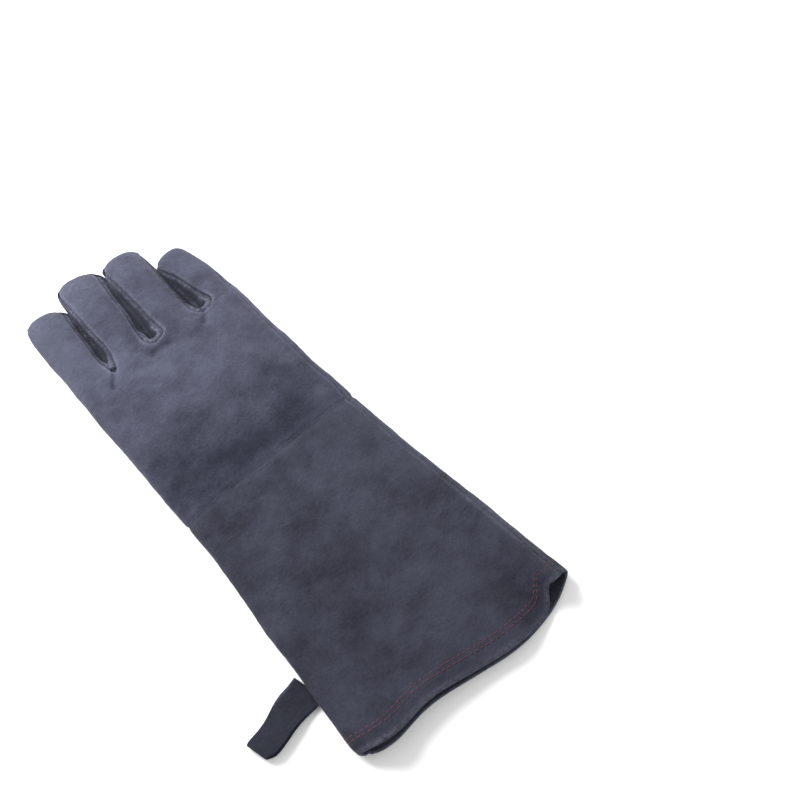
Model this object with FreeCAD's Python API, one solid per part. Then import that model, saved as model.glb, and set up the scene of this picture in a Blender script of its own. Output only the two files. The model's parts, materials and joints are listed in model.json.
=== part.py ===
import FreeCAD, Part
import math
import os

from FreeCAD import Placement, Rotation
from FreeCAD import Vector as V

# Long leather gauntlet glove for the right hand, lying palm down with its thumb folded under the palm.
# Units are millimetres. +Y runs from the wrist seam to the fingertips, +X to the little finger, +Z up
# out of the back of the hand. The origin is the middle of the wrist seam, on the plane that the glove rests on.

# Layers, from the outside in
LEATHER = 1.4
LAYER_GAP = 0.3
FLEECE = 2.0
CANVAS = 0.8
FACING = 1.2
THREAD = 0.35

# Wrist, where the hand and the cuff are sewn together
WRIST_Y = 5.0
WRIST_Z = 12.0
WRIST_BACK_DEG = 20.0
WRIST_PALM_DEG = 12.5
SEAM_CLEARANCE = 0.3

# Stations along the glove: y, left edge, right edge, underside, height
CUFF_STATIONS = [
    (-215, -99.0, 92.5, -0.15, 17.15),
    (-190, -96.0, 89.5, -0.15, 18.15),
    (-150, -91.0, 85.5, -0.15, 21.15),
    (-100, -86.0, 81.5, -0.15, 23.15),
    (-50, -79.0, 77.5, -0.15, 24.15),
    (-10, -73.5, 77.0, -0.15, 24.15),
    (12, -73.0, 77.0, -0.15, 24.15),
]
HAND_STATIONS = [
    (-8, -73.0, 77.0, 0.0, 24.0),
    (6, -73.0, 77.0, 0.6, 24.0),
    (22, -72.0, 76.5, 5.5, 24.5),
    (38, -71.5, 76.0, 11.0, 25.0),
    (54, -71.0, 75.5, 15.4, 25.5),
    (76, -70.5, 75.0, 16.2, 25.5),
    (106, -70.0, 73.5, 15.4, 24.5),
    (138, -69.5, 74.0, 9.5, 24.0),
    (152, -69.5, 74.0, 7.0, 23.0),
]
# Height of the edge seam above the underside: low on the index side, high on the little-finger side
SEAM_LOW = 5.0
SEAM_HIGH = 8.0

# Hem of the cuff: the edge is an arc through three points
HEM_LEFT = (-104.0, -184.0)
HEM_MIDDLE = (0.0, -204.5)
HEM_RIGHT = (98.0, -191.0)
HEM_WIDTH = 15.0
STITCH_ROWS = {"hem_stitch_row_outer": 9.4, "hem_stitch_row_inner": 12.6}
STITCH_WIDTH = 0.8

# Fingers: pivot x, pivot y, lean towards the little finger, reach, width at the base and further out
FINGERS = {
    "index": (-55.0, 138.0, 7.5, 70.0, 27.0, 29.5),
    "middle": (-20.0, 138.0, 8.0, 80.0, 26.0, 31.0),
    "ring": (19.5, 137.0, 5.5, 74.0, 29.5, 30.5),
    "little": (60.5, 135.0, -6.0, 57.5, 27.0, 25.0),
}
FINGER_PIVOT_Z = 19.5
FINGER_UNDER_PIVOT = 10.0
FINGER_FLEX_DEG = 70.0
FINGER_BACK_DEG = 10.0
FINGER_SIDE_SEAM = 5.0
# Share of the reach, share of the width, underside and top measured from the pivot's height
FINGER_PROFILE = [
    (-0.12, 1.0, -10.0, 13.0),
    (0.0, 1.0, -10.0, 13.0),
    (0.3, 1.0, -10.0, 12.0),
    (0.6, 1.0, -9.6, 9.5),
    (0.8, 0.97, -9.0, 7.0),
    (0.93, 0.78, -7.6, 4.2),
    (0.985, 0.46, -6.0, 1.0),
    (1.0, 0.26, -5.2, -0.6),
]
# Gaps between the fingers: centre x, half width, y of the crotch
CROTCHES = {
    "index_middle": (-38.0, 4.2, 129.0),
    "middle_ring": (-2.0, 5.4, 128.0),
    "ring_little": (40.5, 5.5, 125.0),
}

# Thumb, flat under the palm: hinge on the vertical line through its root
THUMB_X = -46.0
THUMB_Y = 71.0
THUMB_HEADING = 45.0
THUMB_HOLE_R = 11.0
THUMB_SEAM_Z = 6.2
# Distance along the thumb, width, underside, height
THUMB_STATIONS = [
    (-17.5, 12.0, 3.5, 8.0),
    (-15.0, 23.0, 1.2, 12.0),
    (-8.0, 32.0, 0.1, 14.4),
    (0.0, 35.0, 0.0, 14.8),
    (20.0, 34.0, 0.0, 14.8),
    (38.0, 32.0, 0.0, 13.8),
    (48.0, 25.0, 0.3, 11.6),
    (54.0, 16.0, 1.4, 8.6),
    (57.0, 8.0, 3.0, 5.4),
]

# Hanging loop: a folded strap sewn into the side seam on the index side of the cuff
LOOP_ROOT = (-93.6, -136.5)
LOOP_LEAN = 12.0
LOOP_WIDTH = 23.0
LOOP_REACH = 46.0
LOOP_STRAP = 1.5
LOOP_EYE_HEIGHT = 5.4
LOOP_EYE_LENGTH = 26.0

FAR = 400.0


def oval(y, left, right, bottom, height, inset):
    """Flattened oval across the glove at y: flat underside, round sides, crowned top, moved in by inset."""
    x0 = left + inset
    x1 = right - inset
    z0 = bottom + inset
    z1 = bottom + height - inset
    side = 0.6 * (z1 - z0)
    radius = side / 2
    low_left = V(x0 + radius, y, z0)
    low_right = V(x1 - radius, y, z0)
    high_right = V(x1 - radius, y, z0 + side)
    high_left = V(x0 + radius, y, z0 + side)
    edges = [
        Part.LineSegment(low_left, low_right).toShape(),
        Part.Arc(low_right, V(x1, y, z0 + radius), high_right).toShape(),
        Part.Arc(high_right, V((x0 + x1) / 2, y, z1), high_left).toShape(),
        Part.Arc(high_left, V(x0, y, z0 + radius), low_left).toShape(),
    ]
    return Part.Wire(edges)


def tube(stations, inset):
    """Solid through the ovals at the stations, moved in by inset, with straight stretches between them."""
    return Part.makeLoft([oval(*station, inset) for station in stations], True, True)


def stall(stations, inset, drop_first, drop_last):
    """Solid of a finger or thumb, moved in by inset; an inside ends short of the closed ends."""
    kept = stations
    if inset > 0:
        kept = stations[drop_first : len(stations) - drop_last]
        y, *rest = kept[-1]
        kept = kept[:-1] + [(y - inset, *rest)]
        if drop_first:
            y, *rest = kept[0]
            kept = [(y + inset, *rest)] + kept[1:]
    return tube(kept, inset)


def prism(points, x0, x1):
    """Solid of a closed outline in the YZ plane, from x0 to x1."""
    corners = [V(x0, y, z) for y, z in points]
    face = Part.Face(Part.makePolygon(corners + corners[:1]))
    return face.extrude(V(x1 - x0, 0, 0))


def plate(wire_edges, z0, z1):
    """Solid of a closed outline in the XY plane, from z0 to z1."""
    face = Part.Face(Part.Wire(wire_edges))
    solid = face.extrude(V(0, 0, z1 - z0))
    solid.translate(V(0, 0, z0))
    return solid


def under_edge_seam(stations):
    """Everything under the edge seam, which runs low on the index side and high on the other."""
    wires = []
    for y, left, right, bottom, _ in stations:
        corners = [
            V(left - 20, y, bottom - 60),
            V(right + 20, y, bottom - 60),
            V(right + 20, y, bottom + SEAM_HIGH),
            V(right - 6, y, bottom + SEAM_HIGH),
            V(left + 6, y, bottom + SEAM_LOW),
            V(left - 20, y, bottom + SEAM_LOW),
        ]
        wires.append(Part.makePolygon(corners + corners[:1]))
    return Part.makeLoft(wires, True, True)


def tan_deg(angle):
    return math.tan(math.radians(angle))


def hem_arc(shift):
    """The hem's edge, moved towards the wrist by shift."""
    points = [V(x, y + shift, 0) for x, y in (HEM_LEFT, HEM_MIDDLE, HEM_RIGHT)]
    return Part.Arc(*points).toShape()


def hem_band(start, end, z0=-20.0, z1=60.0):
    """Space between two distances from the hem's edge."""
    first = hem_arc(start)
    last = hem_arc(end)
    sides = [
        Part.makeLine(first.Vertexes[0].Point, last.Vertexes[0].Point),
        Part.makeLine(first.Vertexes[1].Point, last.Vertexes[1].Point),
    ]
    edges = Part.sortEdges([first, last] + sides)[0]
    return plate(edges, z0, z1)


def wrist_wedge(sign):
    """Space on one side of the wrist's hinge, +1 towards the hand, with room for the cuff to turn."""
    near = sign * SEAM_CLEARANCE / 2
    points = [
        (WRIST_Y + near, WRIST_Z),
        (WRIST_Y + near + sign * 60 * tan_deg(WRIST_BACK_DEG), WRIST_Z + 60),
        (WRIST_Y + sign * FAR, WRIST_Z + 60),
        (WRIST_Y + sign * FAR, WRIST_Z - 60),
        (WRIST_Y + near + sign * 60 * tan_deg(WRIST_PALM_DEG), WRIST_Z - 60),
    ]
    return prism(points, -150, 150)


def slot(centre, half, crotch, grow, length=60.0):
    """Round-ended gap between two fingers, grown sideways by grow."""
    r = half + grow
    y0 = crotch + half
    y1 = y0 + length
    edges = [
        Part.makeLine(V(centre - r, y1, 0), V(centre - r, y0, 0)),
        Part.Arc(V(centre - r, y0, 0), V(centre, y0 - r, 0), V(centre + r, y0, 0)).toShape(),
        Part.makeLine(V(centre + r, y0, 0), V(centre + r, y1, 0)),
        Part.makeLine(V(centre + r, y1, 0), V(centre - r, y1, 0)),
    ]
    return plate(edges, -20, 80)


def finger_placement(name):
    x, y, lean, *_ = FINGERS[name]
    return Placement(V(x, y, FINGER_PIVOT_Z), Rotation(V(0, 0, 1), -lean))


def room_for_finger(name):
    """Space that the hand leaves for a finger: the hinge's front, with a notch on the palm side."""
    width = FINGERS[name][4]
    inner = width / 2 + 3.0
    outer = width / 2 + 20.0
    left = outer if name == "index" else inner
    right = outer if name == "little" else inner
    notch = 60 * tan_deg(FINGER_FLEX_DEG / 2)
    points = [(0, 0), (0, 60), (60, 60), (60, -60), (-notch, -60)]
    space = prism(points, -left, right)
    space.Placement = finger_placement(name)
    return space


def finger_side():
    """Space that a finger may fill next to its hinge, in the finger's own level frame."""
    clear = SEAM_CLEARANCE
    notch = 60 * tan_deg(FINGER_FLEX_DEG / 2)
    back = 60 * tan_deg(FINGER_BACK_DEG)
    points = [(clear, 0), (clear + back, 60), (150, 60), (150, -60), (clear + notch, -60)]
    return prism(points, -60, 60)


def finger_stations(reach, base_width, far_width):
    stations = []
    for share, narrow, under, top in FINGER_PROFILE:
        blend = min(max(share / 0.35, 0.0), 1.0)
        half = narrow * (base_width + (far_width - base_width) * blend) / 2
        stations.append((share * reach, -half, half, under, top - under))
    return stations


def build_finger(name):
    """Back, palm, lining and the side walls of one finger."""
    _, _, _, reach, base_width, far_width = FINGERS[name]
    stations = finger_stations(reach, base_width, far_width)
    lining_out = LEATHER + LAYER_GAP
    lining_in = lining_out + FLEECE
    leather = stall(stations, 0.0, 0, 2).cut(stall(stations, LEATHER, 0, 2))
    lining = stall(stations, lining_out, 0, 2).cut(stall(stations, lining_in, 0, 2))

    seam_top = FINGER_SIDE_SEAM
    seam_low = -FINGER_SIDE_SEAM
    middle = [(-40, seam_low), (150, seam_low), (150, seam_top), (-40, seam_top)]
    above = prism([(-40, seam_top), (150, seam_top), (150, 60), (-40, 60)], -60, 60)
    below = prism([(-40, -60), (150, -60), (150, seam_low), (-40, seam_low)], -60, 60)
    sides = {"left": prism(middle, -60, 0), "right": prism(middle, 0, 60)}
    pieces = {"back": leather.common(above), "palm": leather.common(below)}
    for side, space in sides.items():
        wall = leather.common(space)
        if name == "index" and side == "left":
            pieces["back"] = pieces["back"].fuse(wall).removeSplitter()
        elif name == "little" and side == "right":
            pieces["palm"] = pieces["palm"].fuse(wall).removeSplitter()
        else:
            pieces["fourchette_" + side] = wall
    pieces["lining"] = lining

    drop = FINGER_PIVOT_Z - FINGER_UNDER_PIVOT
    pitch = math.degrees(math.asin((drop + 0.85) / (0.8 * reach)))
    nodes = {}
    for piece, shape in pieces.items():
        shape.rotate(V(0, 0, 0), V(1, 0, 0), -pitch)
        shape = shape.common(finger_side())
        shape.Placement = finger_placement(name).multiply(shape.Placement)
        nodes[name + "_" + piece] = shape
    return nodes


def build_hand():
    """Back and palm of the hand, its lining, and the bottoms of the three gaps between the fingers."""
    stations = HAND_STATIONS
    lining_out = LEATHER + LAYER_GAP
    lining_in = lining_out + FLEECE
    hollow = tube(stations, LEATHER)
    leather = tube(stations, 0.0).cut(hollow)
    lining = tube(stations, lining_out).cut(tube(stations, lining_in))
    keep = wrist_wedge(1)
    for name in FINGERS:
        keep = keep.cut(room_for_finger(name))
    thumb_hole = Part.makeCylinder(THUMB_HOLE_R, 30, V(THUMB_X, THUMB_Y, 0), V(0, 0, 1))
    nodes = {}
    for name, gap in CROTCHES.items():
        gap_space = slot(*gap, 0.0)
        wall = slot(*gap, LEATHER).cut(gap_space).common(tube(stations, LEATHER + 0.05))
        nodes["crotch_" + name] = wall.common(keep)
        leather = leather.cut(gap_space)
        lining = lining.cut(slot(*gap, LEATHER + LAYER_GAP))
    leather = leather.common(keep)
    under = under_edge_seam(stations)
    nodes["hand_back"] = leather.cut(under)
    nodes["hand_palm"] = leather.common(under).cut(thumb_hole)
    nodes["hand_lining"] = lining.common(keep).cut(thumb_hole)
    return nodes


def build_cuff():
    """Back and palm of the cuff, its lining, the turned hem and the two rows of stitches round it."""
    stations = CUFF_STATIONS
    keep = wrist_wedge(-1).common(hem_band(0.0, 300.0, -80.0, 80.0))
    layer_out = LEATHER + 0.1
    pressed_flat = Part.makeBox(2 * FAR, 2 * FAR, 100, V(-FAR, -FAR, 0))
    leather = tube(stations, 0.0).cut(tube(stations, LEATHER)).common(keep).common(pressed_flat)
    under = under_edge_seam(stations)
    facing = tube(stations, layer_out).cut(tube(stations, layer_out + FACING))
    lining = tube(stations, layer_out).cut(tube(stations, layer_out + CANVAS))
    nodes = {
        "cuff_back": leather.cut(under),
        "cuff_palm": leather.common(under),
        "cuff_lining": lining.common(keep).common(hem_band(HEM_WIDTH + 0.5, 300.0, -80.0, 80.0)),
        "hem_facing": facing.common(hem_band(0.0, HEM_WIDTH)),
    }
    above_table = Part.makeBox(FAR, FAR, 60, V(-FAR / 2, -FAR, 1.2))
    thread = tube(stations, -THREAD).cut(tube(stations, -0.02)).common(above_table)
    for row, distance in STITCH_ROWS.items():
        nodes[row] = thread.common(hem_band(distance, distance + STITCH_WIDTH))
    return nodes


def build_thumb():
    """The thumb's two leather pieces and its lining, flat under the palm."""
    stations = [(s, -w / 2, w / 2, z, h) for s, w, z, h in THUMB_STATIONS]
    lining_out = LEATHER + LAYER_GAP
    lining_in = lining_out + FLEECE
    leather = stall(stations, 0.0, 1, 2).cut(stall(stations, LEATHER, 1, 2))
    lining = stall(stations, lining_out, 1, 2).cut(stall(stations, lining_in, 1, 2))
    hole = Part.makeCylinder(THUMB_HOLE_R, 30, V(0, 0, 8), V(0, 0, 1))
    below = Part.makeBox(FAR, FAR, 60, V(-FAR / 2, -FAR / 2, THUMB_SEAM_Z - 60))
    pieces = {
        "thumb_inner": leather.cut(below).cut(hole),
        "thumb_outer": leather.common(below),
        "thumb_lining": lining.cut(hole),
    }
    place = Placement(V(THUMB_X, THUMB_Y, 0), Rotation(V(0, 0, 1), -THUMB_HEADING))
    for shape in pieces.values():
        shape.Placement = place
    return pieces


def build_loop():
    """Folded strap with an open eye at its end."""
    strap = LOOP_STRAP
    outer_r = LOOP_EYE_HEIGHT / 2 + strap
    eye_end = LOOP_REACH - outer_r
    eye_start = eye_end - LOOP_EYE_LENGTH
    low = strap
    high = strap + LOOP_EYE_HEIGHT

    def outline(points, bend_from, bend_tip, bend_to):
        edges = [Part.makeLine(a, b) for a, b in zip(points[:-1], points[1:])]
        return edges + [Part.Arc(bend_from, bend_tip, bend_to).toShape()]

    def face_of(edges):
        return Part.Face(Part.Wire(Part.sortEdges(edges)[0]))

    outside = outline(
        [V(eye_end, 0, high + strap), V(eye_start, 0, high + 0.6), V(0, 0, 2 * strap), V(0, 0, 0), V(eye_end, 0, 0)],
        V(eye_end, 0, 0),
        V(eye_end + outer_r, 0, outer_r),
        V(eye_end, 0, 2 * outer_r),
    )
    eye = outline(
        [V(eye_end, 0, high), V(eye_start, 0, high - strap + 0.6), V(9, 0, low), V(eye_end, 0, low)],
        V(eye_end, 0, low),
        V(eye_end + LOOP_EYE_HEIGHT / 2, 0, outer_r),
        V(eye_end, 0, high),
    )
    body = face_of(outside).cut(face_of(eye)).extrude(V(0, LOOP_WIDTH, 0))
    place = Placement(V(LOOP_ROOT[0], LOOP_ROOT[1], 0), Rotation(V(0, 0, 1), 180 + LOOP_LEAN))
    body.Placement = place.multiply(Placement(V(0, -LOOP_WIDTH / 2, 0), Rotation()))
    return {"hanging_loop": body}


def main():
    os.makedirs("parts", exist_ok=True)
    nodes = build_hand()
    for name in FINGERS:
        nodes.update(build_finger(name))
    nodes.update(build_thumb())
    nodes.update(build_cuff())
    nodes.update(build_loop())
    for name, shape in nodes.items():
        solids = [solid for solid in shape.Solids if solid.Volume > 0.5]
        whole = solids[0] if len(solids) == 1 else Part.makeCompound(solids)
        whole.exportStep("parts/" + name + ".step")
        box = whole.optimalBoundingBox(False, False)
        print(
            f"{name:26s} solids {len(solids)} valid {whole.isValid()} volume {whole.Volume:9.1f}"
            f" x {box.XMin:7.1f} {box.XMax:7.1f} y {box.YMin:7.1f} {box.YMax:7.1f} z {box.ZMin:6.2f} {box.ZMax:6.2f}"
        )


main()
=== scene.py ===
import json
import math

import bpy
import numpy as np
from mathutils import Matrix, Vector
from mathutils.kdtree import KDTree


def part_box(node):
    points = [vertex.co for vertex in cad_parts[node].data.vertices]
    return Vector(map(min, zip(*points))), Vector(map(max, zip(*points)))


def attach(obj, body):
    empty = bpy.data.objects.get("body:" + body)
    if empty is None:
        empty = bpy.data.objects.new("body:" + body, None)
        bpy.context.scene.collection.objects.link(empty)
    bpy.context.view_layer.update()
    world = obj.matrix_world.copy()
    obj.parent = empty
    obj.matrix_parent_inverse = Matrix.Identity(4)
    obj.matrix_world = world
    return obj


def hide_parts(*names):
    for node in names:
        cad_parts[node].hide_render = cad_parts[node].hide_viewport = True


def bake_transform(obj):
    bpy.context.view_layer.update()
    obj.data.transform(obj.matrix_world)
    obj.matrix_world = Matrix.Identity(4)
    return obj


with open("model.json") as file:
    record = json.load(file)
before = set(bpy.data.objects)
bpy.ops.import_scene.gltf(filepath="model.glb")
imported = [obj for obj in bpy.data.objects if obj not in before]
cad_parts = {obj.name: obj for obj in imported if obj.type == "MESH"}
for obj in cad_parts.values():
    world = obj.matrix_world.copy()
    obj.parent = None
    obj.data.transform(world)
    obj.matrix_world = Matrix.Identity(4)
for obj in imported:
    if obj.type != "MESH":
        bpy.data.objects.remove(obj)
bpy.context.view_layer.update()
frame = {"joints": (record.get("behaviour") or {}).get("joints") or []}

# Lengths in this script are millimetres in the row frame until a mesh is made; MM turns them into metres.
MM = 0.001

# Leather and the layers under it
LEATHER = 1.4
LINING_DEPTH = 2.7
LINING_THICK = 1.2

# The pattern's grid: columns across each finger and round each side, rows along each part
FINGER_COLUMNS = 8
SIDE_COLUMNS = 5
CUFF_ROWS = 40
HAND_ROWS = 28
FINGER_ROWS = 22
SMOOTH_LEVELS = 2

# Outline of cuff and hand: y, left edge, right edge, underside, height
OUTLINE = np.array([
    (-212, -96.5, 92, 0.2, 15),
    (-190, -95.5, 90, 0.2, 17),
    (-165, -92.5, 87.5, 0.2, 18.5),
    (-130, -88.5, 84, 0.2, 20),
    (-95, -85, 81.5, 0.2, 22.5),
    (-50, -79, 77, 0.2, 23.5),
    (-12, -74.5, 75.5, 0.2, 22),
    (2, -74, 75, 0.4, 20.5),
    (20, -74.5, 73.5, 4.6, 24),
    (38, -74.5, 71.5, 10.6, 25.5),
    (56, -74, 70, 15.4, 26),
    (78, -73.5, 69.5, 16.2, 25),
    (104, -72, 71, 15.4, 23.5),
    (130, -70, 72.8, 11, 22),
    (150, -69, 73, 8.5, 21),
], float)
WRIST_Y = 2.0
# The hem's edge, as x, y
HEM_LINE = np.array([
    (-100, -186), (-94, -191), (-74, -198), (-56, -194.5), (-36, -193.5), (-10, -198.5),
    (29, -206), (56, -204), (75, -199.5), (90, -192), (98, -187),
], float)
HEM_HALF = 94.0
HEM_CENTRE = -3.0
# Shares of a section's height above and below its middle
ABOVE = 0.58
BELOW = 0.42
# Roundness of the sections: 2 is an ellipse, more is squarer
BODY_POWER = 3.0
FINGER_POWER = 2.4
THUMB_POWER = 2.6
SEAM_ANGLE = math.radians(24)

# Gaps between the fingers at their crotches: x, y; the outer ends of that line close the list
CROTCHES = [(-71.0, 128.0), (-40.5, 119.0), (-5.0, 119.0), (38.0, 118.0), (72.5, 124.0)]
PALM_CROTCH_AHEAD = 10.0
# How far the foot of each wall reaches past the middle of its gap, so that neighbours touch
GAP_OVERLAP = 0.6
# Middle lines of the gaps from the crotch outwards, as y, x
GAP_LINES = [np.array(line, float) for line in (
    [(117, -40.8), (129, -38.4), (150, -34), (180, -31.5), (196, -28.5), (230, -26)],
    [(117, -5.4), (128, -2.6), (150, 2.2), (178, 5.5), (197, 9), (230, 14)],
    [(116, 37.6), (125, 39.8), (150, 41.8), (170, 41.4), (186, 41.6), (230, 41)],
)]
# How far each gap takes to open from its crotch, and the shape of its end: 0.5 is round, 1 is pointed
GAP_OPENINGS = [(26.0, 1.0), (7.0, 0.5), (8.0, 0.5)]
# How far from the crotch line a finger takes to get its own outer side, and its own height
OUTER_EASE = 36.0
HEIGHT_EASE = 22.0
CROTCH_NAMES = ["crotch_index_middle", "crotch_middle_ring", "crotch_ring_little"]
# Up to this share of a finger's length its walls belong to the crotch gussets
CROTCH_SHARE = 0.08
# Length of the pattern from the hem to the wrist, and to the crotches
CUFF_ALONG = 205.0
CROTCH_ALONG = 332.0
FINGER_NAMES = ["index", "middle", "ring", "little"]
# Width of each finger at its pivot, and from a third of its reach onwards
FINGER_WIDTHS = {"index": (27.5, 29.5), "middle": (26.0, 31.5), "ring": (29.5, 30.5), "little": (25.4, 25.5)}
# Share of the finger's reach, share of its width, underside and top measured from the finger's pivot
FINGER_PROFILE = np.array([
    (-0.2, 1, -9.6, 12),
    (0, 1, -9.6, 12),
    (0.25, 1, -9.8, 11.8),
    (0.5, 1, -9.8, 10.8),
    (0.75, 1.02, -9.4, 9.6),
    (0.88, 0.97, -8.8, 8.4),
    (0.95, 0.82, -7.8, 6.4),
    (0.985, 0.56, -6.2, 3.2),
    (1, 0.2, -4.2, -0.4),
], float)
# Added to the reach of each CAD finger, to meet the fingertips of the photo
FINGER_EXTRA = {"index": 1.5, "middle": 2.5, "ring": 3.5, "little": -1.5}


def smoothstep(a, b, x):
    t = np.clip((np.asarray(x, float) - a) / (b - a), 0.0, 1.0)
    return t * t * (3 - 2 * t)


def bell(distance, width):
    return np.exp(-(distance / width) ** 2)


def soft_interp(x, table, column, spread):
    """Value of a column of the table at x, averaged over a stretch so that it has no corners."""
    offsets = np.linspace(-spread, spread, 7)
    return float(np.mean(np.interp(x + offsets, table[:, 0], table[:, column])))


def interp_rows(at, places, rows):
    """Rows of a table interpolated at one place or several."""
    return np.stack([np.interp(at, places, rows[:, axis]) for axis in range(rows.shape[1])], axis=-1)


def joint(name):
    return next(j for j in frame["joints"] if j["name"] == name)


def add_object(name, data):
    added = bpy.data.objects.new(name, data)
    bpy.context.scene.collection.objects.link(added)
    return added


# ---- noise

def value_noise(points, scale, seed):
    """Smooth noise from -1 to 1 at each point, by blending random values at the corners of a lattice."""
    lattice = np.random.default_rng(seed).uniform(-1, 1, (64, 64, 64))
    p = points / scale + 1000.0
    cell = np.floor(p).astype(int)
    f = p - cell
    f = f * f * f * (f * (f * 6 - 15) + 10)
    total = np.zeros(len(points))
    for corner in range(8):
        step = np.array([corner & 1, corner >> 1 & 1, corner >> 2 & 1])
        index = (cell + step) % 64
        weight = np.prod(np.where(step == 1, f, 1 - f), axis=1)
        total += weight * lattice[index[:, 0], index[:, 1], index[:, 2]]
    return total


# ---- the glove's surface

class Surface:
    """Shared vertices of the whole outer skin and its faces, each with the panel that it is cut from."""

    def __init__(self):
        self.points = []
        self.along = []
        self.faces = []
        self.panels = []

    def add(self, point, along):
        self.points.append(point)
        self.along.append(along)
        return len(self.points) - 1

    def quad(self, a, b, c, d, panel):
        """Adds a face; a corner that repeats is left out."""
        corners = [a, b, c, d]
        kept = [v for i, v in enumerate(corners) if v != corners[i - 1]]
        if len(kept) > 2:
            self.faces.append(kept)
            self.panels.append(panel)


def columns_across(power):
    """Places across the hand from seam to seam, in half widths: equal columns for each finger."""
    seam = math.cos(SEAM_ANGLE) ** (2 / power)
    centre = (CROTCHES[0][0] + CROTCHES[-1][0]) / 2
    half = (CROTCHES[-1][0] - CROTCHES[0][0]) / 2
    bounds = [-seam] + [(x - centre) / half for x, _ in CROTCHES[1:-1]] + [seam]
    across = []
    for left, right in zip(bounds, bounds[1:]):
        across += [left + (right - left) * j / FINGER_COLUMNS for j in range(FINGER_COLUMNS)]
    return across + [seam]


def oval_point(xi, sign, power):
    """Height of a unit section at xi, above (+1) or below (-1) its middle."""
    return sign * max(0.0, 1 - abs(xi) ** power) ** (1 / power)


def section_point(angle, power):
    """(outwards, upwards) on a unit section at an angle above its middle."""
    return tuple(math.copysign(abs(part) ** (2 / power), part) for part in (math.cos(angle), math.sin(angle)))


def body_section(y, inset=0.0):
    """Centre, half width, middle height, and the heights above and below it, at y."""
    left, right, under, height = (soft_interp(y, OUTLINE, column, 9.0) for column in (1, 2, 3, 4))
    half = (right - left) / 2 - inset
    return (left + right) / 2, half, under + height * BELOW, height * ABOVE - inset, height * BELOW - inset


def hem_y(xi):
    """y of the hem's edge at a place across the cuff."""
    return soft_interp(xi * HEM_HALF + HEM_CENTRE, HEM_LINE, 1, 12.0)


def body_point(xi, zeta, y, inset):
    centre, half, middle, up, down = body_section(y, inset)
    return np.array([centre + half * xi, y, middle + (up if zeta > 0 else down) * zeta])


def crotch_line(xi, zeta, bounds):
    """y of the crotch line at a place across the hand; underneath, it lies further towards the tips."""
    ahead = PALM_CROTCH_AHEAD * float(smoothstep(0.6, -0.9, zeta))
    ys = [y + (ahead if 0 < k < 4 else 0.4 * ahead) for k, (_, y) in enumerate(CROTCHES)]
    return float(np.interp(xi, bounds, ys))


def build_body(surface, inset):
    """Rings of the cuff and the hand, from the hem to the line of the crotches."""
    across = columns_across(BODY_POWER)
    bounds = across[::FINGER_COLUMNS]
    angles = [SEAM_ANGLE * (1 - 2 * i / SIDE_COLUMNS) for i in range(1, SIDE_COLUMNS)]
    sides = [section_point(angle, BODY_POWER) for angle in angles]
    ring = [(-out, up) for out, up in reversed(sides)]
    left_count = len(ring)
    ring += [(xi, oval_point(xi, 1, BODY_POWER)) for xi in across]
    top_end = len(ring)
    ring += sides
    right_end = len(ring)
    ring += [(xi, oval_point(xi, -1, BODY_POWER)) for xi in reversed(across)]

    cuff_shares = [i / CUFF_ROWS for i in range(CUFF_ROWS + 1)]
    hand_shares = [i / HAND_ROWS for i in range(1, HAND_ROWS + 1)]
    rows = []
    for part, shares in (("cuff", cuff_shares), ("hand", hand_shares)):
        for t in shares:
            row = []
            for xi, zeta in ring:
                if part == "cuff":
                    y = hem_y(xi) * (1 - t) + WRIST_Y * t
                    along = t * CUFF_ALONG
                else:
                    y = WRIST_Y * (1 - t) + crotch_line(xi, zeta, bounds) * t
                    along = CUFF_ALONG + t * (CROTCH_ALONG - CUFF_ALONG)
                row.append(surface.add(body_point(xi, zeta, y, inset), along))
            rows.append(row)

    count = len(ring)
    for r in range(len(rows) - 1):
        part = "cuff" if r < CUFF_ROWS else "hand"
        for i in range(count):
            j = (i + 1) % count
            on_back = i < top_end - 1 or i == count - 1
            panel = part + ("_back" if on_back else "_palm")
            surface.quad(rows[r][i], rows[r][j], rows[r + 1][j], rows[r + 1][i], panel)
    last = rows[-1]
    top = last[left_count:top_end]
    bottom = list(reversed(last[right_end:]))
    left_side = [bottom[0]] + last[:left_count] + [top[0]]
    right_side = [top[-1]] + last[top_end:right_end] + [bottom[-1]]
    return top, bottom, left_side, right_side


class Finger:
    """A finger's own frame: its pivot, the way it points, and its width and height along the way."""

    def __init__(self, name, inset):
        hinge = joint(name + "_bend")
        self.name = name
        self.inset = inset
        self.pivot = np.array(hinge["pos_m"]) / MM
        bend = np.array(hinge["axis"])
        self.side = np.array([-bend[0], -bend[1], 0.0])
        self.ahead = np.array([bend[1], -bend[0], 0.0])
        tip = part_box(name + "_palm")[1].y / MM
        self.reach = (tip - self.pivot[1]) / self.ahead[1] + FINGER_EXTRA[name] - inset
        self.widths = FINGER_WIDTHS[name]
        # Slope that lays the underside on the floor at 0.8 of the reach
        self.fall = (self.pivot[2] - 10.0 + 0.6) / (0.8 * self.reach)

    def half_width(self, s):
        share = s / self.reach
        blend = float(smoothstep(0.0, 0.35, share))
        width = self.widths[0] + (self.widths[1] - self.widths[0]) * blend
        return (width / 2 - self.inset) * soft_interp(share, FINGER_PROFILE, 1, 0.01)

    def point(self, s, xi, zeta):
        share = s / self.reach
        under = soft_interp(share, FINGER_PROFILE, 2, 0.02)
        over = soft_interp(share, FINGER_PROFILE, 3, 0.02)
        middle = under + (over - under) * 0.45
        deep = max(over - middle if zeta > 0 else middle - under, 0.8 + self.inset) - self.inset
        z = self.pivot[2] - s * self.fall + middle + deep * zeta
        flat = self.pivot + self.ahead * s + self.side * (self.half_width(s) * xi)
        return np.array([flat[0], flat[1], z])

    def local(self, point):
        offset = np.array(point) - self.pivot
        return offset @ self.ahead, offset @ self.side


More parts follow.
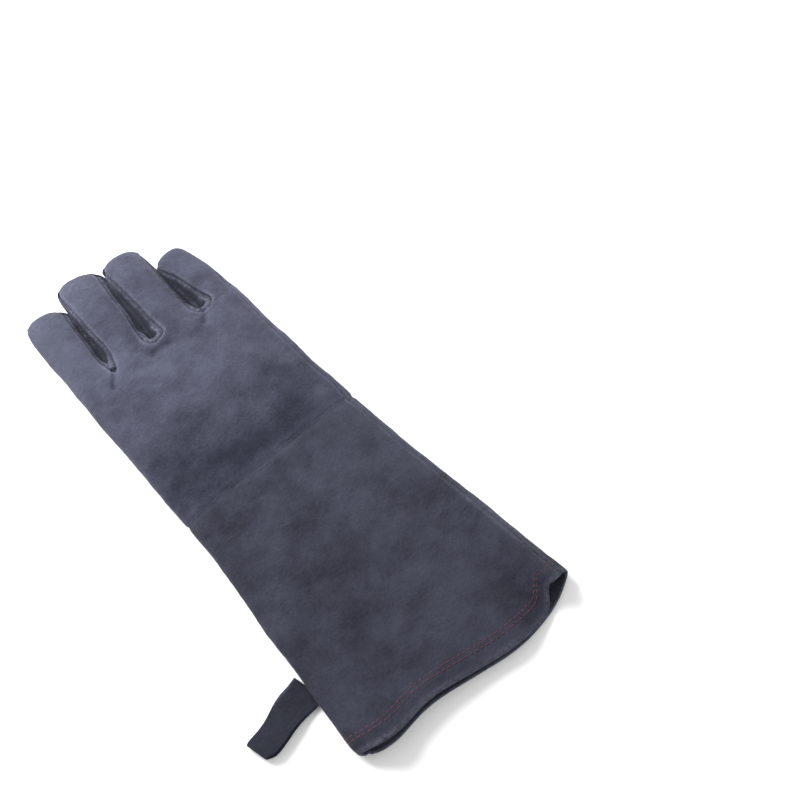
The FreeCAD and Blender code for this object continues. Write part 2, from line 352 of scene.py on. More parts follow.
def row_places():
    """Shares of a finger's length for its rows: close together at the crotch and at the tip."""
    base = [0.0, 0.006, 0.018, 0.036, 0.06, 0.09, 0.125]
    run = list(np.linspace(0.17, 0.84, FINGER_ROWS - 12))
    tip = [0.885, 0.92, 0.95, 0.974, 0.99, 1.0]
    return base + run + tip


def carried_height(start, y, inset):
    """Height of a point of the crotch line if the hand's own section went on to y."""
    _, _, middle0, up0, down0 = body_section(start[1], inset)
    _, _, middle, up, down = body_section(y, inset)
    offset = start[2] - middle0
    return middle + offset * (up / up0 if offset > 0 else down / down0)


def fill_gap(finger, own_side, s, side, f, zeta, line):
    """Moves the lower part of a finger's wall sideways, to meet its neighbour under the gap."""
    y = (finger.pivot + finger.ahead * s)[1]
    middle = finger.local((np.interp(y, line[:, 0], line[:, 1]), y, 0))[1]
    target = middle + side * (GAP_OVERLAP - finger.inset)
    edge = side * finger.half_width(s)
    nearness = max(0.0, side * (2 * f - 1)) ** 3
    low = float(smoothstep(0.42, -0.35, zeta))
    ends = float(smoothstep(finger.reach, finger.reach * 0.86, s))
    return own_side + side * max(side * (target - edge), 0.0) * nearness * low * ends


def build_finger(surface, finger, start, outer, crotches, gaps):
    """Rings of one finger from the crotch line's vertices in start. outer names the side that has no gap."""
    n = FINGER_COLUMNS
    name = finger.name
    panels = {
        "top": name + "_back",
        "right": name + ("_palm" if outer == "right" else "_fourchette_right"),
        "bottom": name + "_palm",
        "left": name + ("_back" if outer == "left" else "_fourchette_left"),
    }

    def place(vertex, share, f, xi, zeta):
        """A point of the row at share: the finger's own section, eased into its vertex on the crotch line."""
        s0, side0 = finger.local(surface.points[vertex])
        gone = (finger.reach - s0) * share
        own = finger.point(s0 + gone, xi, zeta)
        own_side = (own - finger.pivot) @ finger.side
        closed = 0.0
        for side, part in ((-1, 1 - f), (1, f)):
            if side in gaps:
                own_side = fill_gap(finger, own_side, s0 + gone, side, f, zeta, GAP_LINES[gaps[side]])
                opening, roundness = GAP_OPENINGS[gaps[side]]
                t = min(gone / opening, 1.0)
                closed += part * (1 - (1 - (1 - t) ** 2) ** roundness)
            else:
                closed += part * (1 - float(smoothstep(0, OUTER_EASE, gone)))
        sideways = own_side + (side0 - own_side) * closed
        flat = finger.pivot + finger.ahead * (s0 + gone) + finger.side * sideways
        w = float(smoothstep(0.0, HEIGHT_EASE, gone))
        z = carried_height(surface.points[vertex], flat[1], finger.inset) * (1 - w) + own[2] * w
        return surface.add(np.array([flat[0], flat[1], z]), CROTCH_ALONG + gone)

    previous = start
    for share in row_places()[1:]:
        seam_angle = SEAM_ANGLE * (1 - 0.93 * float(smoothstep(0.62, 0.97, share)))
        seam_xi = section_point(seam_angle, FINGER_POWER)[0]
        turns = [1 - 2 * i / SIDE_COLUMNS for i in range(1, SIDE_COLUMNS)]
        sides = [section_point(seam_angle * turn, FINGER_POWER) for turn in turns]
        top, bottom = [], []
        for j in range(n + 1):
            f = j / n
            eased = f + (0.5 - 0.5 * math.cos(math.pi * f) - f) * 0.6
            xi = seam_xi * (2 * eased - 1)
            top.append(place(start["top"][j], share, f, xi, oval_point(xi, 1, FINGER_POWER)))
            bottom.append(place(start["bottom"][j], share, f, xi, oval_point(xi, -1, FINGER_POWER)))
        right = [place(start["right"][i + 1], share, 1.0, xi, zeta) for i, (xi, zeta) in enumerate(sides)]
        left = [place(start["left"][-2 - i], share, 0.0, -xi, zeta) for i, (xi, zeta) in enumerate(sides)]
        rows = {
            "top": top,
            "right": [top[-1]] + right + [bottom[-1]],
            "bottom": bottom,
            "left": [bottom[0]] + left[::-1] + [top[0]],
        }
        for part, panel in panels.items():
            if share < CROTCH_SHARE and part in crotches:
                panel = crotches[part]
            old, new = previous[part], rows[part]
            for i in range(len(new) - 1):
                if part == "bottom":
                    surface.quad(old[i + 1], old[i], new[i], new[i + 1], panel)
                else:
                    surface.quad(old[i], old[i + 1], new[i + 1], new[i], panel)
        previous = rows
    for i in range(n):
        corners = previous["top"][i : i + 2] + previous["bottom"][i : i + 2][::-1]
        surface.quad(*corners, panels["top"])
    for part in ("right", "left"):
        surface.faces.append(list(previous[part]))
        surface.panels.append(panels[part])


def build_surface(inset=0.0):
    """The glove's whole skin, or a layer under it by inset."""
    surface = Surface()
    top, bottom, left_side, right_side = build_body(surface, inset)
    n = FINGER_COLUMNS
    walls = [left_side]
    for k in range(1, 4):
        upper, lower = top[k * n], bottom[k * n]
        wall = [upper]
        for i in range(1, SIDE_COLUMNS):
            t = i / SIDE_COLUMNS
            point = surface.points[upper] * (1 - t) + surface.points[lower] * t
            wall.append(surface.add(point, CROTCH_ALONG))
        walls.append(wall + [lower])
    walls.append(right_side)
    for k, name in enumerate(FINGER_NAMES):
        gaps = {side: gap for side, gap in ((-1, k - 1), (1, k)) if 0 <= gap < 3}
        crotches = {"left" if side < 0 else "right": CROTCH_NAMES[gap] for side, gap in gaps.items()}
        start = {
            "top": top[k * n : (k + 1) * n + 1],
            "right": walls[k + 1],
            "bottom": bottom[k * n : (k + 1) * n + 1],
            "left": left_side if k == 0 else walls[k][::-1],
        }
        outer = "left" if k == 0 else "right" if k == 3 else ""
        build_finger(surface, Finger(name, inset), start, outer, crotches, gaps)
    return surface


class Skin:
    """A surface subdivided smoothly, with the panel of each face and each point's distance from the hem."""

    def __init__(self, surface, levels):
        names = sorted(set(surface.panels))
        mesh = bpy.data.meshes.new("pattern")
        mesh.from_pydata([tuple(p) for p in surface.points], [], surface.faces)
        for _ in names:
            mesh.materials.append(None)
        mesh.polygons.foreach_set("material_index", [names.index(p) for p in surface.panels])
        along = mesh.attributes.new("along", "FLOAT", "POINT")
        along.data.foreach_set("value", np.array(surface.along, np.float32))
        pattern = add_object("pattern", mesh)
        modifier = pattern.modifiers.new("smooth", "SUBSURF")
        modifier.levels = modifier.render_levels = levels
        fine = bpy.data.meshes.new_from_object(pattern.evaluated_get(bpy.context.evaluated_depsgraph_get()))
        count = len(fine.vertices)
        points = np.zeros(count * 3)
        fine.vertices.foreach_get("co", points)
        self.points = points.reshape(-1, 3)
        self.along = np.zeros(count)
        fine.attributes["along"].data.foreach_get("value", self.along)
        self.faces = [list(polygon.vertices) for polygon in fine.polygons]
        self.panels = [names[polygon.material_index] for polygon in fine.polygons]
        bpy.data.objects.remove(pattern)
        bpy.data.meshes.remove(mesh)
        bpy.data.meshes.remove(fine)
        self.quads = np.array(self.faces)
        self.find_normals()

    def find_normals(self):
        p, q = self.points, self.quads
        flat = np.cross(p[q[:, 2]] - p[q[:, 0]], p[q[:, 3]] - p[q[:, 1]])
        normals = np.zeros_like(p)
        for corner in range(4):
            np.add.at(normals, q[:, corner], flat)
        self.normals = normals / np.maximum(np.linalg.norm(normals, axis=1, keepdims=True), 1e-9)

    def borders(self):
        """Vertices on each pair of neighbouring panels: {(panel, panel): set of vertices}."""
        first = {}
        found = {}
        for face, panel in zip(self.faces, self.panels):
            for a, b in zip(face, face[1:] + face[:1]):
                edge = (min(a, b), max(a, b))
                other = first.setdefault(edge, panel)
                if other != panel:
                    found.setdefault(tuple(sorted((other, panel))), set()).update(edge)
        return found

    def distance_to(self, vertices):
        """Distance of every point to the nearest of the vertices."""
        tree = KDTree(len(vertices))
        for i, v in enumerate(vertices):
            tree.insert(self.points[v], i)
        tree.balance()
        return np.array([tree.find(p)[2] for p in self.points])


# ---- folds, creases and seams

# Creases of the back, as x, y of both ends, half width and depth
BACK_CREASES = [
    (-42, 116, -49, 108, 2.3, 1.9),
    (-49, 107, -50, 98, 4.5, 1.5),
    (-30, 108, -14, 100, 6, 1.3),
    (-18, 121, -13, 111, 3.2, 1.9),
    (-13, 111, 0, 110, 3.2, 1.9),
    (4, 112, 14, 104, 5, 1.3),
    (37, 115, 31, 108, 2.3, 1.9),
    (30, 107, 16, 100, 5, 1.2),
    (-60, 20, -10, 12, 7, 1.6),
    (0, 10, 55, 20, 8, 1.8),
    (30, 95, 56, 60, 11, 2),
    (-50, 92, -20, 70, 11, 1.8),
    (-30, 40, 20, 55, 12, 1.5),
    (20, 35, 62, 30, 9, 1.6),
    (-62, -20, -30, -60, 12, 1.8),
    (20, -25, 55, -45, 12, 2),
    (-40, -90, 10, -120, 14, 2),
    (-75, -120, -55, -165, 9, 1.8),
    (40, -70, 62, -130, 10, 2.6),
]
# Broad shapes of the leather: the little finger's side hangs down, and a valley and a ridge run to the hem
LITTLE_SIDE_DROOP = 7.5
HEM_Y = -195.0
VALLEY_X = 62
VALLEY_SLANT = 0.05
VALLEY_WIDTHS = (23.0, 6.5)
VALLEY_DEPTH = 10.0
RIDGE_X = 79
RIDGE_SLANT = 0.02
RIDGE_WIDTH = 6.8
RIDGE_HEIGHT = 9.0
RIDGE_SHIFT = 5.0
SEAM_DEPTH = 1.15
SEAM_WIDTH = 1.0
WRIST_DEPTH = 0.8
STITCH_ROWS = {"hem_stitch_row_outer": 9.6, "hem_stitch_row_inner": 12.8}


def segment_distance(points, x0, y0, x1, y1):
    """Distance in plan to a straight stretch."""
    start = np.array([x0, y0])
    run = np.array([x1, y1]) - start
    t = np.clip(((points[:, :2] - start) @ run) / (run @ run), 0, 1)
    nearest = start + t[:, None] * run
    return np.linalg.norm(points[:, :2] - nearest, axis=1)


def fold(points, upward):
    """Points moved by slack and folds. upward is 1 on the back, 0 at the sides and -1 underneath."""
    moved = points.copy()
    back = np.clip(upward, 0, 1)
    for x0, y0, x1, y1, width, depth in BACK_CREASES:
        moved[:, 2] -= back * depth * bell(segment_distance(points, x0, y0, x1, y1), width)
    x, y = points[:, 0], points[:, 1]
    moved[:, 2] -= LITTLE_SIDE_DROOP * smoothstep(0, 70, x) * smoothstep(10, 50, y) * smoothstep(205, 125, y)
    valley = smoothstep(-60, -196, y) ** 1.2
    valley_x = VALLEY_X + VALLEY_SLANT * (y - HEM_Y)
    spread = np.where(x < valley_x, *VALLEY_WIDTHS)
    moved[:, 2] -= back * VALLEY_DEPTH * valley * bell(x - valley_x, spread)
    ridge = smoothstep(-70, -196, y)
    lift = bell(x - (RIDGE_X + RIDGE_SLANT * (y - HEM_Y)), RIDGE_WIDTH)
    moved[:, 2] += back * RIDGE_HEIGHT * ridge * lift
    moved[:, 0] -= back * RIDGE_SHIFT * ridge**2 * lift
    # The hem: its corner set back, its far end lifted and pulled in, its middle sunk
    near_hem = smoothstep(-160, -204, y)
    moved[:, 1] += back * near_hem * (3.5 * smoothstep(58, 68, x) + 5.5 * bell(x - 71, 5.5))
    moved[:, 2] += back * 5.5 * near_hem * bell(x + 77, 12.0)
    moved[:, 2] -= back * 5.0 * near_hem * bell(x - 2, 36.0)
    moved[:, 0] += 2.0 * smoothstep(-181, -193, y) * smoothstep(-80, -95, x)
    moved[:, 2] -= back * 2.2 * bell(y - WRIST_Y, 9.0)
    slack = 1.5 * value_noise(points, 46.0, 11) + 0.7 * value_noise(points, 19.0, 12)
    calm = 1 - 0.6 * smoothstep(120, 150, y)
    moved[:, 2] += (0.25 + 0.75 * back) * slack * calm
    moved[:, 0] += (1 - np.abs(upward)) * (0.8 * value_noise(points, 30.0, 13))
    return moved


def detail(points, normals, seam_distance, wrist_distance, hem_distance):
    """Seam grooves with rolled lips, the two sunk rows at the hem and the small wrinkles of soft leather."""
    from_crotch = hem_distance - CROTCH_ALONG
    tight = smoothstep(16, 4, from_crotch) * smoothstep(-6, -2, from_crotch)
    groove = -SEAM_DEPTH * (1 + 0.8 * tight) * bell(seam_distance, SEAM_WIDTH)
    lip = 0.28 * bell(seam_distance - 2.6, 1.3)
    wrist = -WRIST_DEPTH * bell(wrist_distance, 1.8)
    rows = sum(-0.28 * bell(hem_distance - row, 0.8) for row in STITCH_ROWS.values())
    band = 0.3 * smoothstep(15.5, 13.5, hem_distance)
    small = 0.22 * value_noise(points, 7.5, 21) + 0.1 * value_noise(points, 3.1, 22)
    return points + normals * (groove + lip + wrist + rows + band + small)[:, None]


def rest_on_floor(points, lowest):
    """Presses what hangs under the floor flat against it, softly."""
    z = points[:, 2]
    points[:, 2] = np.where(z < lowest + 0.8, lowest + 0.8 * np.exp((z - lowest - 0.8) / 0.8), z)


def is_same_leather(pair):
    """True for two panels with no seam between them: hand and finger, or crotch and finger wall."""
    names = " ".join(pair)
    if "crotch" in names:
        return "fourchette" in names
    one, other = (name.split("_", 1) for name in pair)
    return one[1] == other[1] and "cuff" not in names


def is_side_panel(name):
    return "crotch" in name or "fourchette" in name


def shape_skin():
    """The leather: folded, with its seams sunk in, and how much paler each point is: partly rub and partly
    painted highlight along the seams, and painted highlight at the hem's edge, on the fingertips and on the
    up-facing tops of the rolled crotch rims.
    """
    skin = Skin(build_surface(), SMOOTH_LEVELS)
    skin.points = fold(skin.points, skin.normals[:, 2])
    rest_on_floor(skin.points, 0.2)
    skin.find_normals()
    borders = skin.borders()
    wrist = {v for pair, found in borders.items() if "cuff" in pair[0] and "hand" in pair[1] for v in found}
    seams = {v for pair, found in borders.items() if not is_same_leather(pair) for v in found} - wrist
    seam_distance = skin.distance_to(sorted(seams))
    wrist_distance = skin.distance_to(sorted(wrist))
    skin.points = detail(skin.points, skin.normals, seam_distance, wrist_distance, skin.along)
    is_wall = np.zeros(len(skin.points))
    is_wall[sorted({v for face in faces_of(skin, is_side_panel) for v in face})] = 1.0
    rolled = is_wall * bell(seam_distance - 3.2, 1.9) * smoothstep(20, 6, skin.along - CROTCH_ALONG)
    skin.points = skin.points + skin.normals * (2.2 * rolled)[:, None]
    rest_on_floor(skin.points, 0.1)
    skin.find_normals()
    # Paler along the seams and the wrist seam: partly rub, partly painted highlight on the rolled edges.
    near_seam = bell(seam_distance - 1.8, 1.6)
    near_wrist = 0.25 * bell(wrist_distance - 3.0, 2.5)
    # Painted highlight along the hem's edge, as if lit from in front.
    edge = smoothstep(4.0, 0.0, skin.along)
    # Painted highlight on the fingertips, standing in for the light that rims them.
    fingertip_highlight = 0.35 * smoothstep(385, 405, skin.along)
    patchy = 0.65 + 0.35 * value_noise(skin.points, 9.0, 31)
    rubs_and_highlights = (np.maximum.reduce([near_seam, near_wrist, edge]) * 0.75 + fingertip_highlight) * patchy
    # Painted highlight on the rolled crotch rims, only where they face up.
    roll_top_highlight = np.minimum(1.6 * rolled, 0.9) * smoothstep(-0.3, 0.4, skin.normals[:, 2])
    skin.wear = np.maximum(np.clip(rubs_and_highlights, 0, 1), roll_top_highlight)
    return skin


# ---- meshes

def new_piece(name, points, faces, slot, loop_normals=None):
    """A mesh object from millimetre points, in the material of its slot."""
    mesh = bpy.data.meshes.new(name)
    mesh.from_pydata((np.asarray(points) * MM).tolist(), [], faces)
    mesh.polygons.foreach_set("use_smooth", [True] * len(faces))
    if loop_normals is not None:
        mesh.normals_split_custom_set(loop_normals)
    mesh.materials.append(LOOKS[slot])
    return add_object(name, mesh)


def set_rub_and_highlight(piece, values):
    """Stores how much paler each vertex is, for the suede's pale colour: partly rub, partly painted
    highlight.
    """
    attribute = piece.data.attributes.new("wear", "FLOAT", "POINT")
    attribute.data.foreach_set("value", values.astype(np.float32))


def flat_normal(corners):
    normal = np.cross(corners[2] - corners[0], corners[-1] - corners[1])
    return normal / max(np.linalg.norm(normal), 1e-9)


def hem_nose(depth_out, depth_in):
    """Section of the turned hem from its outer to its inner layer: (depth, distance out of the mouth)."""
    middle = depth_in / 2
    nose = [(depth_out - 0.05, 0.06), (0.1, 0.06)]
    for i in range(1, 8):
        angle = math.pi * i / 8
        nose.append((middle - middle * math.cos(angle), 0.1 + middle * math.sin(angle)))
    return nose


def rim_edges(faces):
    """The edges that only one face has, in that face's direction."""
    once = {}
    for face in faces:
        for a, b in zip(face, face[1:] + face[:1]):
            if (b, a) in once:
                del once[b, a]
            else:
                once[a, b] = True
    return once


def cut_shell(skin, name, keep, outer, inner, slot, nose=()):
    """A sheet of the skin's faces in keep, between two depths under the skin. nose rounds off its hem."""
    used = sorted({v for face in keep for v in face})
    place = {v: i for i, v in enumerate(used)}
    count = len(used)
    base, normals = skin.points[used], skin.normals[used]
    points = [base - normals * outer, base - normals * inner]
    faces = [[place[v] for v in face] for face in keep]
    rim = rim_edges(faces)
    loop_normals = [normals[face] for face in faces]
    faces += [[v + count for v in reversed(face)] for face in faces]
    loop_normals += [-normals[[v - count for v in face]] for face in faces[len(keep) :]]
    rows = {}
    out = {}
    for a, b in rim:
        along = base[b] - base[a]
        for v in (a, b):
            out[v] = out.get(v, 0) + np.cross(along, normals[v])
    total = 2 * count
    extra = []
    on_hem = skin.along[used] < 0.01
    for v in sorted(out):
        chain = [v]
        if nose and on_hem[v]:
            direction = out[v] / np.linalg.norm(out[v])
            for depth, reach in nose:
                extra.append(base[v] - normals[v] * depth + direction * reach)
                chain.append(total)
                total += 1
        rows[v] = chain + [v + count]
    if extra:
        points.append(np.array(extra))
    points = np.concatenate(points)
    for a, b in rim:
        for i in range(min(len(rows[a]), len(rows[b])) - 1):
            face = [rows[b][i], rows[a][i], rows[a][i + 1], rows[b][i + 1]]
            faces.append(face)
            loop_normals.append(np.tile(flat_normal(points[face]), (4, 1)))
    piece = new_piece(name, points, faces, slot, None if nose else np.concatenate(loop_normals).tolist())
    # The outer face carries the skin's pale marks; the turned hem's nose gets a painted highlight of 0.6.
    if hasattr(skin, "wear"):
        set_rub_and_highlight(piece, np.concatenate([skin.wear[used], np.zeros(count), np.full(total - 2 * count, 0.6)]))
    return piece


def faces_of(skin, wanted):
    """The skin's faces whose panel is accepted by wanted."""
    return [face for face, panel in zip(skin.faces, skin.panels) if wanted(panel)]


def finish_piece(piece, node, body, bend=None):
    """Hides the CAD node that a piece stands in for and ties the piece to its body; a piece with a bend only
    has its transform baked in.
    """
    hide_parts(node)
    if bend:
        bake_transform(piece)
    else:
        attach(piece, body)


def sew(skin, name, keep, outer, inner, slot, body, bend=None, nose=()):
    """Cuts a sheet out of the skin and finishes it."""
    finish_piece(cut_shell(skin, name, keep, outer, inner, slot, nose), name, body, bend)


# ---- materials

def add_node(tree, kind, **values):
    node = tree.nodes.new("ShaderNode" + kind)
    for key, value in values.items():
        if hasattr(node, key):
            setattr(node, key, value)
        else:
            node.inputs[key].default_value = value
    return node


def new_material(name):
    material = bpy.data.materials.new(name)
    material.use_nodes = True
    tree = material.node_tree
    place = add_node(tree, "TexCoord").outputs["Object"]
    return material, tree, tree.nodes["Principled BSDF"], place


def noise(tree, place, scale, detail=3.0, roughness=0.55):
    node = add_node(tree, "TexNoise", Scale=scale, Detail=detail, Roughness=roughness)
    tree.links.new(place, node.inputs["Vector"])
    return node.outputs["Fac"]


def remap(tree, value, low, high, to_low=0.0, to_high=1.0):
    ends = {"From Min": low, "From Max": high, "To Min": to_low, "To Max": to_high}
    node = add_node(tree, "MapRange", **ends)
    tree.links.new(value, node.inputs["Value"])
    return node.outputs["Result"]


def arithmetic(tree, operation, a, b):
    node = add_node(tree, "Math", operation=operation)
    for socket, value in zip(node.inputs, (a, b)):
        if isinstance(value, (int, float)):
            socket.default_value = value
        else:
            tree.links.new(value, socket)
    return node.outputs[0]


def mix_colour(tree, factor, a, b):
    node = add_node(tree, "Mix", data_type="RGBA")
    for index, value in ((0, factor), (6, a), (7, b)):
        if isinstance(value, tuple):
            node.inputs[index].default_value = (*value, 1.0)
        elif isinstance(value, float):
            node.inputs[index].default_value = value
        else:
            tree.links.new(value, node.inputs[index])
    return node.outputs[2]


def connect(tree, shader, colour, roughness, bumps):
    """Ties colour, roughness and stacked bumps to the shader. A bump is (height, strength, metres)."""
    tree.links.new(colour, shader.inputs["Base Color"])
    tree.links.new(roughness, shader.inputs["Roughness"])
    normal = None
    for height, strength, distance in bumps:
        node = add_node(tree, "Bump", Strength=strength, Distance=distance)
        tree.links.new(height, node.inputs["Height"])
        if normal is not None:
            tree.links.new(normal, node.inputs["Normal"])
        normal = node.outputs["Normal"]
    tree.links.new(normal, shader.inputs["Normal"])


def suede(name, dark, light, pale, sheen):
    """Split cowhide: cloudy dye, brushed patches, short fibres, and a paler colour along edges and seams that
    is partly rub and partly painted highlight.
    """
    material, tree, shader, place = new_material(name)
    clouds = remap(tree, noise(tree, place, 19.0, 4.0, 0.6), 0.38, 0.62)
    patches = remap(tree, noise(tree, place, 60.0, 5.0, 0.62), 0.34, 0.66)
    nap = remap(tree, noise(tree, place, 520.0, 5.0, 0.75), 0.3, 0.7)
    fibres = noise(tree, place, 2400.0, 3.0, 0.7)
    tone = arithmetic(tree, "MULTIPLY", clouds, 0.42)
    tone = arithmetic(tree, "ADD", tone, arithmetic(tree, "MULTIPLY", patches, 0.34))
    tone = arithmetic(tree, "ADD", tone, arithmetic(tree, "MULTIPLY", nap, 0.24))
    colour = mix_colour(tree, tone, dark, light)
    # Paler where the vertices say so: rubs along seams, and painted highlights at the hem's edge, the
    # fingertips and the rolled rims.
    wear = add_node(tree, "Attribute", attribute_name="wear").outputs["Fac"]
    uneven = remap(tree, noise(tree, place, 420.0), 0.35, 0.62, 0.25)
    rub_and_highlight_mix = arithmetic(tree, "MULTIPLY", wear, uneven)
    colour = mix_colour(tree, arithmetic(tree, "MINIMUM", rub_and_highlight_mix, 0.85), colour, pale)
    shader.inputs["Specular IOR Level"].default_value = 0.2
    shader.inputs["Sheen Weight"].default_value = sheen
    shader.inputs["Sheen Roughness"].default_value = 0.5
    shader.inputs["Sheen Tint"].default_value = (0.72, 0.76, 0.95, 1.0)
    bumps = [(patches, 0.6, 0.0009), (nap, 0.75, 0.0005), (fibres, 0.6, 0.00025)]
    connect(tree, shader, colour, remap(tree, nap, 0.0, 1.0, 0.97, 0.86), bumps)
    return material


def fleece(name, dark, light):
    """Brushed cotton fleece: soft tufts and loose fibres."""
    material, tree, shader, place = new_material(name)
    tufts = noise(tree, place, 450.0, 4.0, 0.7)
    fibres = noise(tree, place, 2400.0, 3.0, 0.7)
    colour = mix_colour(tree, remap(tree, tufts, 0.32, 0.68), dark, light)
    shader.inputs["Sheen Weight"].default_value = 0.4
    shader.inputs["Specular IOR Level"].default_value = 0.2
    bumps = [(tufts, 0.8, 0.0012), (fibres, 0.5, 0.0003)]
    connect(tree, shader, colour, remap(tree, fibres, 0.3, 0.7, 0.98, 0.9), bumps)
    return material


def canvas(name, dark, light):
    """Plain-woven cotton: threads over and under in both directions."""
    material, tree, shader, place = new_material(name)
    threads = []
    for direction in ("X", "Y"):
        wave = add_node(tree, "TexWave", bands_direction=direction, Scale=360.0, Distortion=0.6)
        tree.links.new(place, wave.inputs["Vector"])
        threads.append(wave.outputs["Fac"])
    weave = arithmetic(tree, "MULTIPLY", *threads)
    slub = noise(tree, place, 160.0)
    colour = mix_colour(tree, arithmetic(tree, "MULTIPLY", weave, slub), dark, light)
    bumps = [(weave, 0.7, 0.0003), (slub, 0.3, 0.0004)]
    connect(tree, shader, colour, remap(tree, slub, 0.3, 0.7, 0.95, 0.85), bumps)
    return material


def thread_material(name, dark, light):
    """Twisted aramid sewing thread."""
    material, tree, shader, place = new_material(name)
    twist = add_node(tree, "TexWave", bands_direction="DIAGONAL", Scale=900.0, Distortion=1.5)
    tree.links.new(place, twist.inputs["Vector"])
    strands = twist.outputs["Fac"]
    colour = mix_colour(tree, arithmetic(tree, "MULTIPLY", strands, noise(tree, place, 500.0)), dark, light)
    connect(tree, shader, colour, remap(tree, strands, 0.0, 1.0, 0.8, 0.55), [(strands, 0.6, 0.0002)])
    return material


# Dark, light and pale colour of each suede, and its sheen; the pale colour is for rubs and painted highlights
SUEDES = {
    "hand_suede": ((0.016, 0.017, 0.030), (0.063, 0.066, 0.099), (0.12, 0.125, 0.175), 0.07),
    # Painted shade: a dark copy of the hand's suede for the fourchettes and crotch gussets, standing in for
    # the shadow inside the gaps between the fingers
    "side_suede": ((0.005, 0.006, 0.010), (0.020, 0.022, 0.034), (0.10, 0.105, 0.15), 0.03),
    # Painted shade in part: darker than the hand's suede, for the light that falls off towards the hem
    "cuff_suede": ((0.010, 0.011, 0.019), (0.043, 0.045, 0.067), (0.085, 0.09, 0.12), 0.05),
    "loop_suede": ((0.008, 0.009, 0.016), (0.023, 0.025, 0.038), (0.06, 0.064, 0.09), 0.04),
}
# The material of each slot
LOOKS = {name: suede(name, *look) for name, look in SUEDES.items()}
LOOKS["fleece_lining"] = fleece("fleece_lining", (0.30, 0.29, 0.27), (0.56, 0.54, 0.50))
# The cuff's canvas lining is near black.
LOOKS["canvas_lining"] = canvas("canvas_lining", (0.016, 0.017, 0.020), (0.050, 0.052, 0.058))
LOOKS["aramid_thread"] = thread_material("aramid_thread", (0.050, 0.012, 0.022), (0.125, 0.030, 0.052))


# ---- stitches

STITCH_PITCH = 4.2
STITCH_RADIUS = 0.42
# A stitch lower than this would lie in the floor
LOWEST_STITCH = 0.9


def contour(skin, distance):
    """The closed line round the cuff at one distance from the hem: its points and normals, in order."""
    ahead = skin.along > distance
    links = {}
    near = {}
    for face in np.array(skin.faces)[np.ptp(ahead[skin.quads].astype(int), axis=1) > 0]:
        crossed = []
        for a, b in zip(face, np.roll(face, -1)):
            if ahead[a] != ahead[b]:
                edge = (min(a, b), max(a, b))
                low, high = edge
                share = (distance - skin.along[low]) / (skin.along[high] - skin.along[low])
                near[edge] = [(1 - share) * of[low] + share * of[high] for of in (skin.points, skin.normals)]
                crossed.append(edge)
        links.setdefault(crossed[0], []).append(crossed[1])
        links.setdefault(crossed[1], []).append(crossed[0])
    first = min(links)
    order, before, here = [first], None, first
    while True:
        following = [edge for edge in links[here] if edge != before][0]
        if following == first:
            break
        order.append(following)
        before, here = here, following
    return np.array([near[edge][0] for edge in order]), np.array([near[edge][1] for edge in order])


def stitch_mesh(stitches):
    """Points and faces of stitches, each (start, end, up): threads that dip into the leather at both ends."""
    points, faces = [], []
    sections = [(0.0, 0.45, -0.5), (0.14, 0.85, 0.05), (0.5, 1.0, 0.3), (0.86, 0.85, 0.05), (1.0, 0.45, -0.5)]
    sides = 8
    for start, end, up in stitches:
        run = (end - start) / np.linalg.norm(end - start)
        side = np.cross(run, up)
        side /= np.linalg.norm(side)
        first = len(points)
        for share, thick, lift in sections:
            centre = start + (end - start) * share + up * lift * STITCH_RADIUS
            for i in range(sides):
                angle = 2 * math.pi * i / sides
                offset = side * math.cos(angle) + up * math.sin(angle) * 0.8
                points.append(centre + offset * thick * STITCH_RADIUS)
        for r in range(len(sections) - 1):
            for i in range(sides):
                a = first + r * sides + i
                b = first + r * sides + (i + 1) % sides
                faces.append([a, b, b + sides, a + sides])
        last = first + (len(sections) - 1) * sides
        faces.append([first + i for i in reversed(range(sides))])
        faces.append([last + i for i in range(sides)])
    return points, faces


def stitch_row(skin, name, distance):
    line, normals = contour(skin, distance)
    steps = np.linalg.norm(np.diff(line, axis=0, append=line[:1]), axis=1)
    travelled = np.concatenate([[0.0], np.cumsum(steps)])
    line = np.concatenate([line, line[:1]])
    normals = np.concatenate([normals, normals[:1]])
    count = round(travelled[-1] / STITCH_PITCH)
    stitches = []
    for k in range(count):
        start, middle, end = (
            interp_rows((k + share) * travelled[-1] / count, travelled, line) for share in (0.1, 0.5, 0.88)
        )
        up = interp_rows((k + 0.5) * travelled[-1] / count, travelled, normals)
        up /= np.linalg.norm(up)
        if middle[2] > LOWEST_STITCH:
            stitches.append((start, end, up))
    points, faces = stitch_mesh(stitches)
    return new_piece(name, points, faces, "aramid_thread")


# ---- thumb

# Distance along the thumb, half width, underside, height
THUMB_STATIONS = np.array([
    (-17, 3, 5, 4),
    (-16, 9, 3, 8),
    (-12.5, 14, 1.2, 12),
    (-6, 16.6, 0.3, 14.2),
    (4, 17.4, 0.1, 14.6),
    (20, 17, 0.1, 14.6),
    (36, 16.2, 0.1, 13.8),
    (46, 13.4, 0.3, 12),
    (52, 9.4, 1, 9.4),
    (56, 4.6, 2.4, 5.8),
    (57.2, 1.2, 3.8, 3),
], float)
THUMB_HEADING = math.radians(45)
THUMB_COLUMNS = 28
# The palm lies on the thumb above this height
THUMB_TOP = 15.2


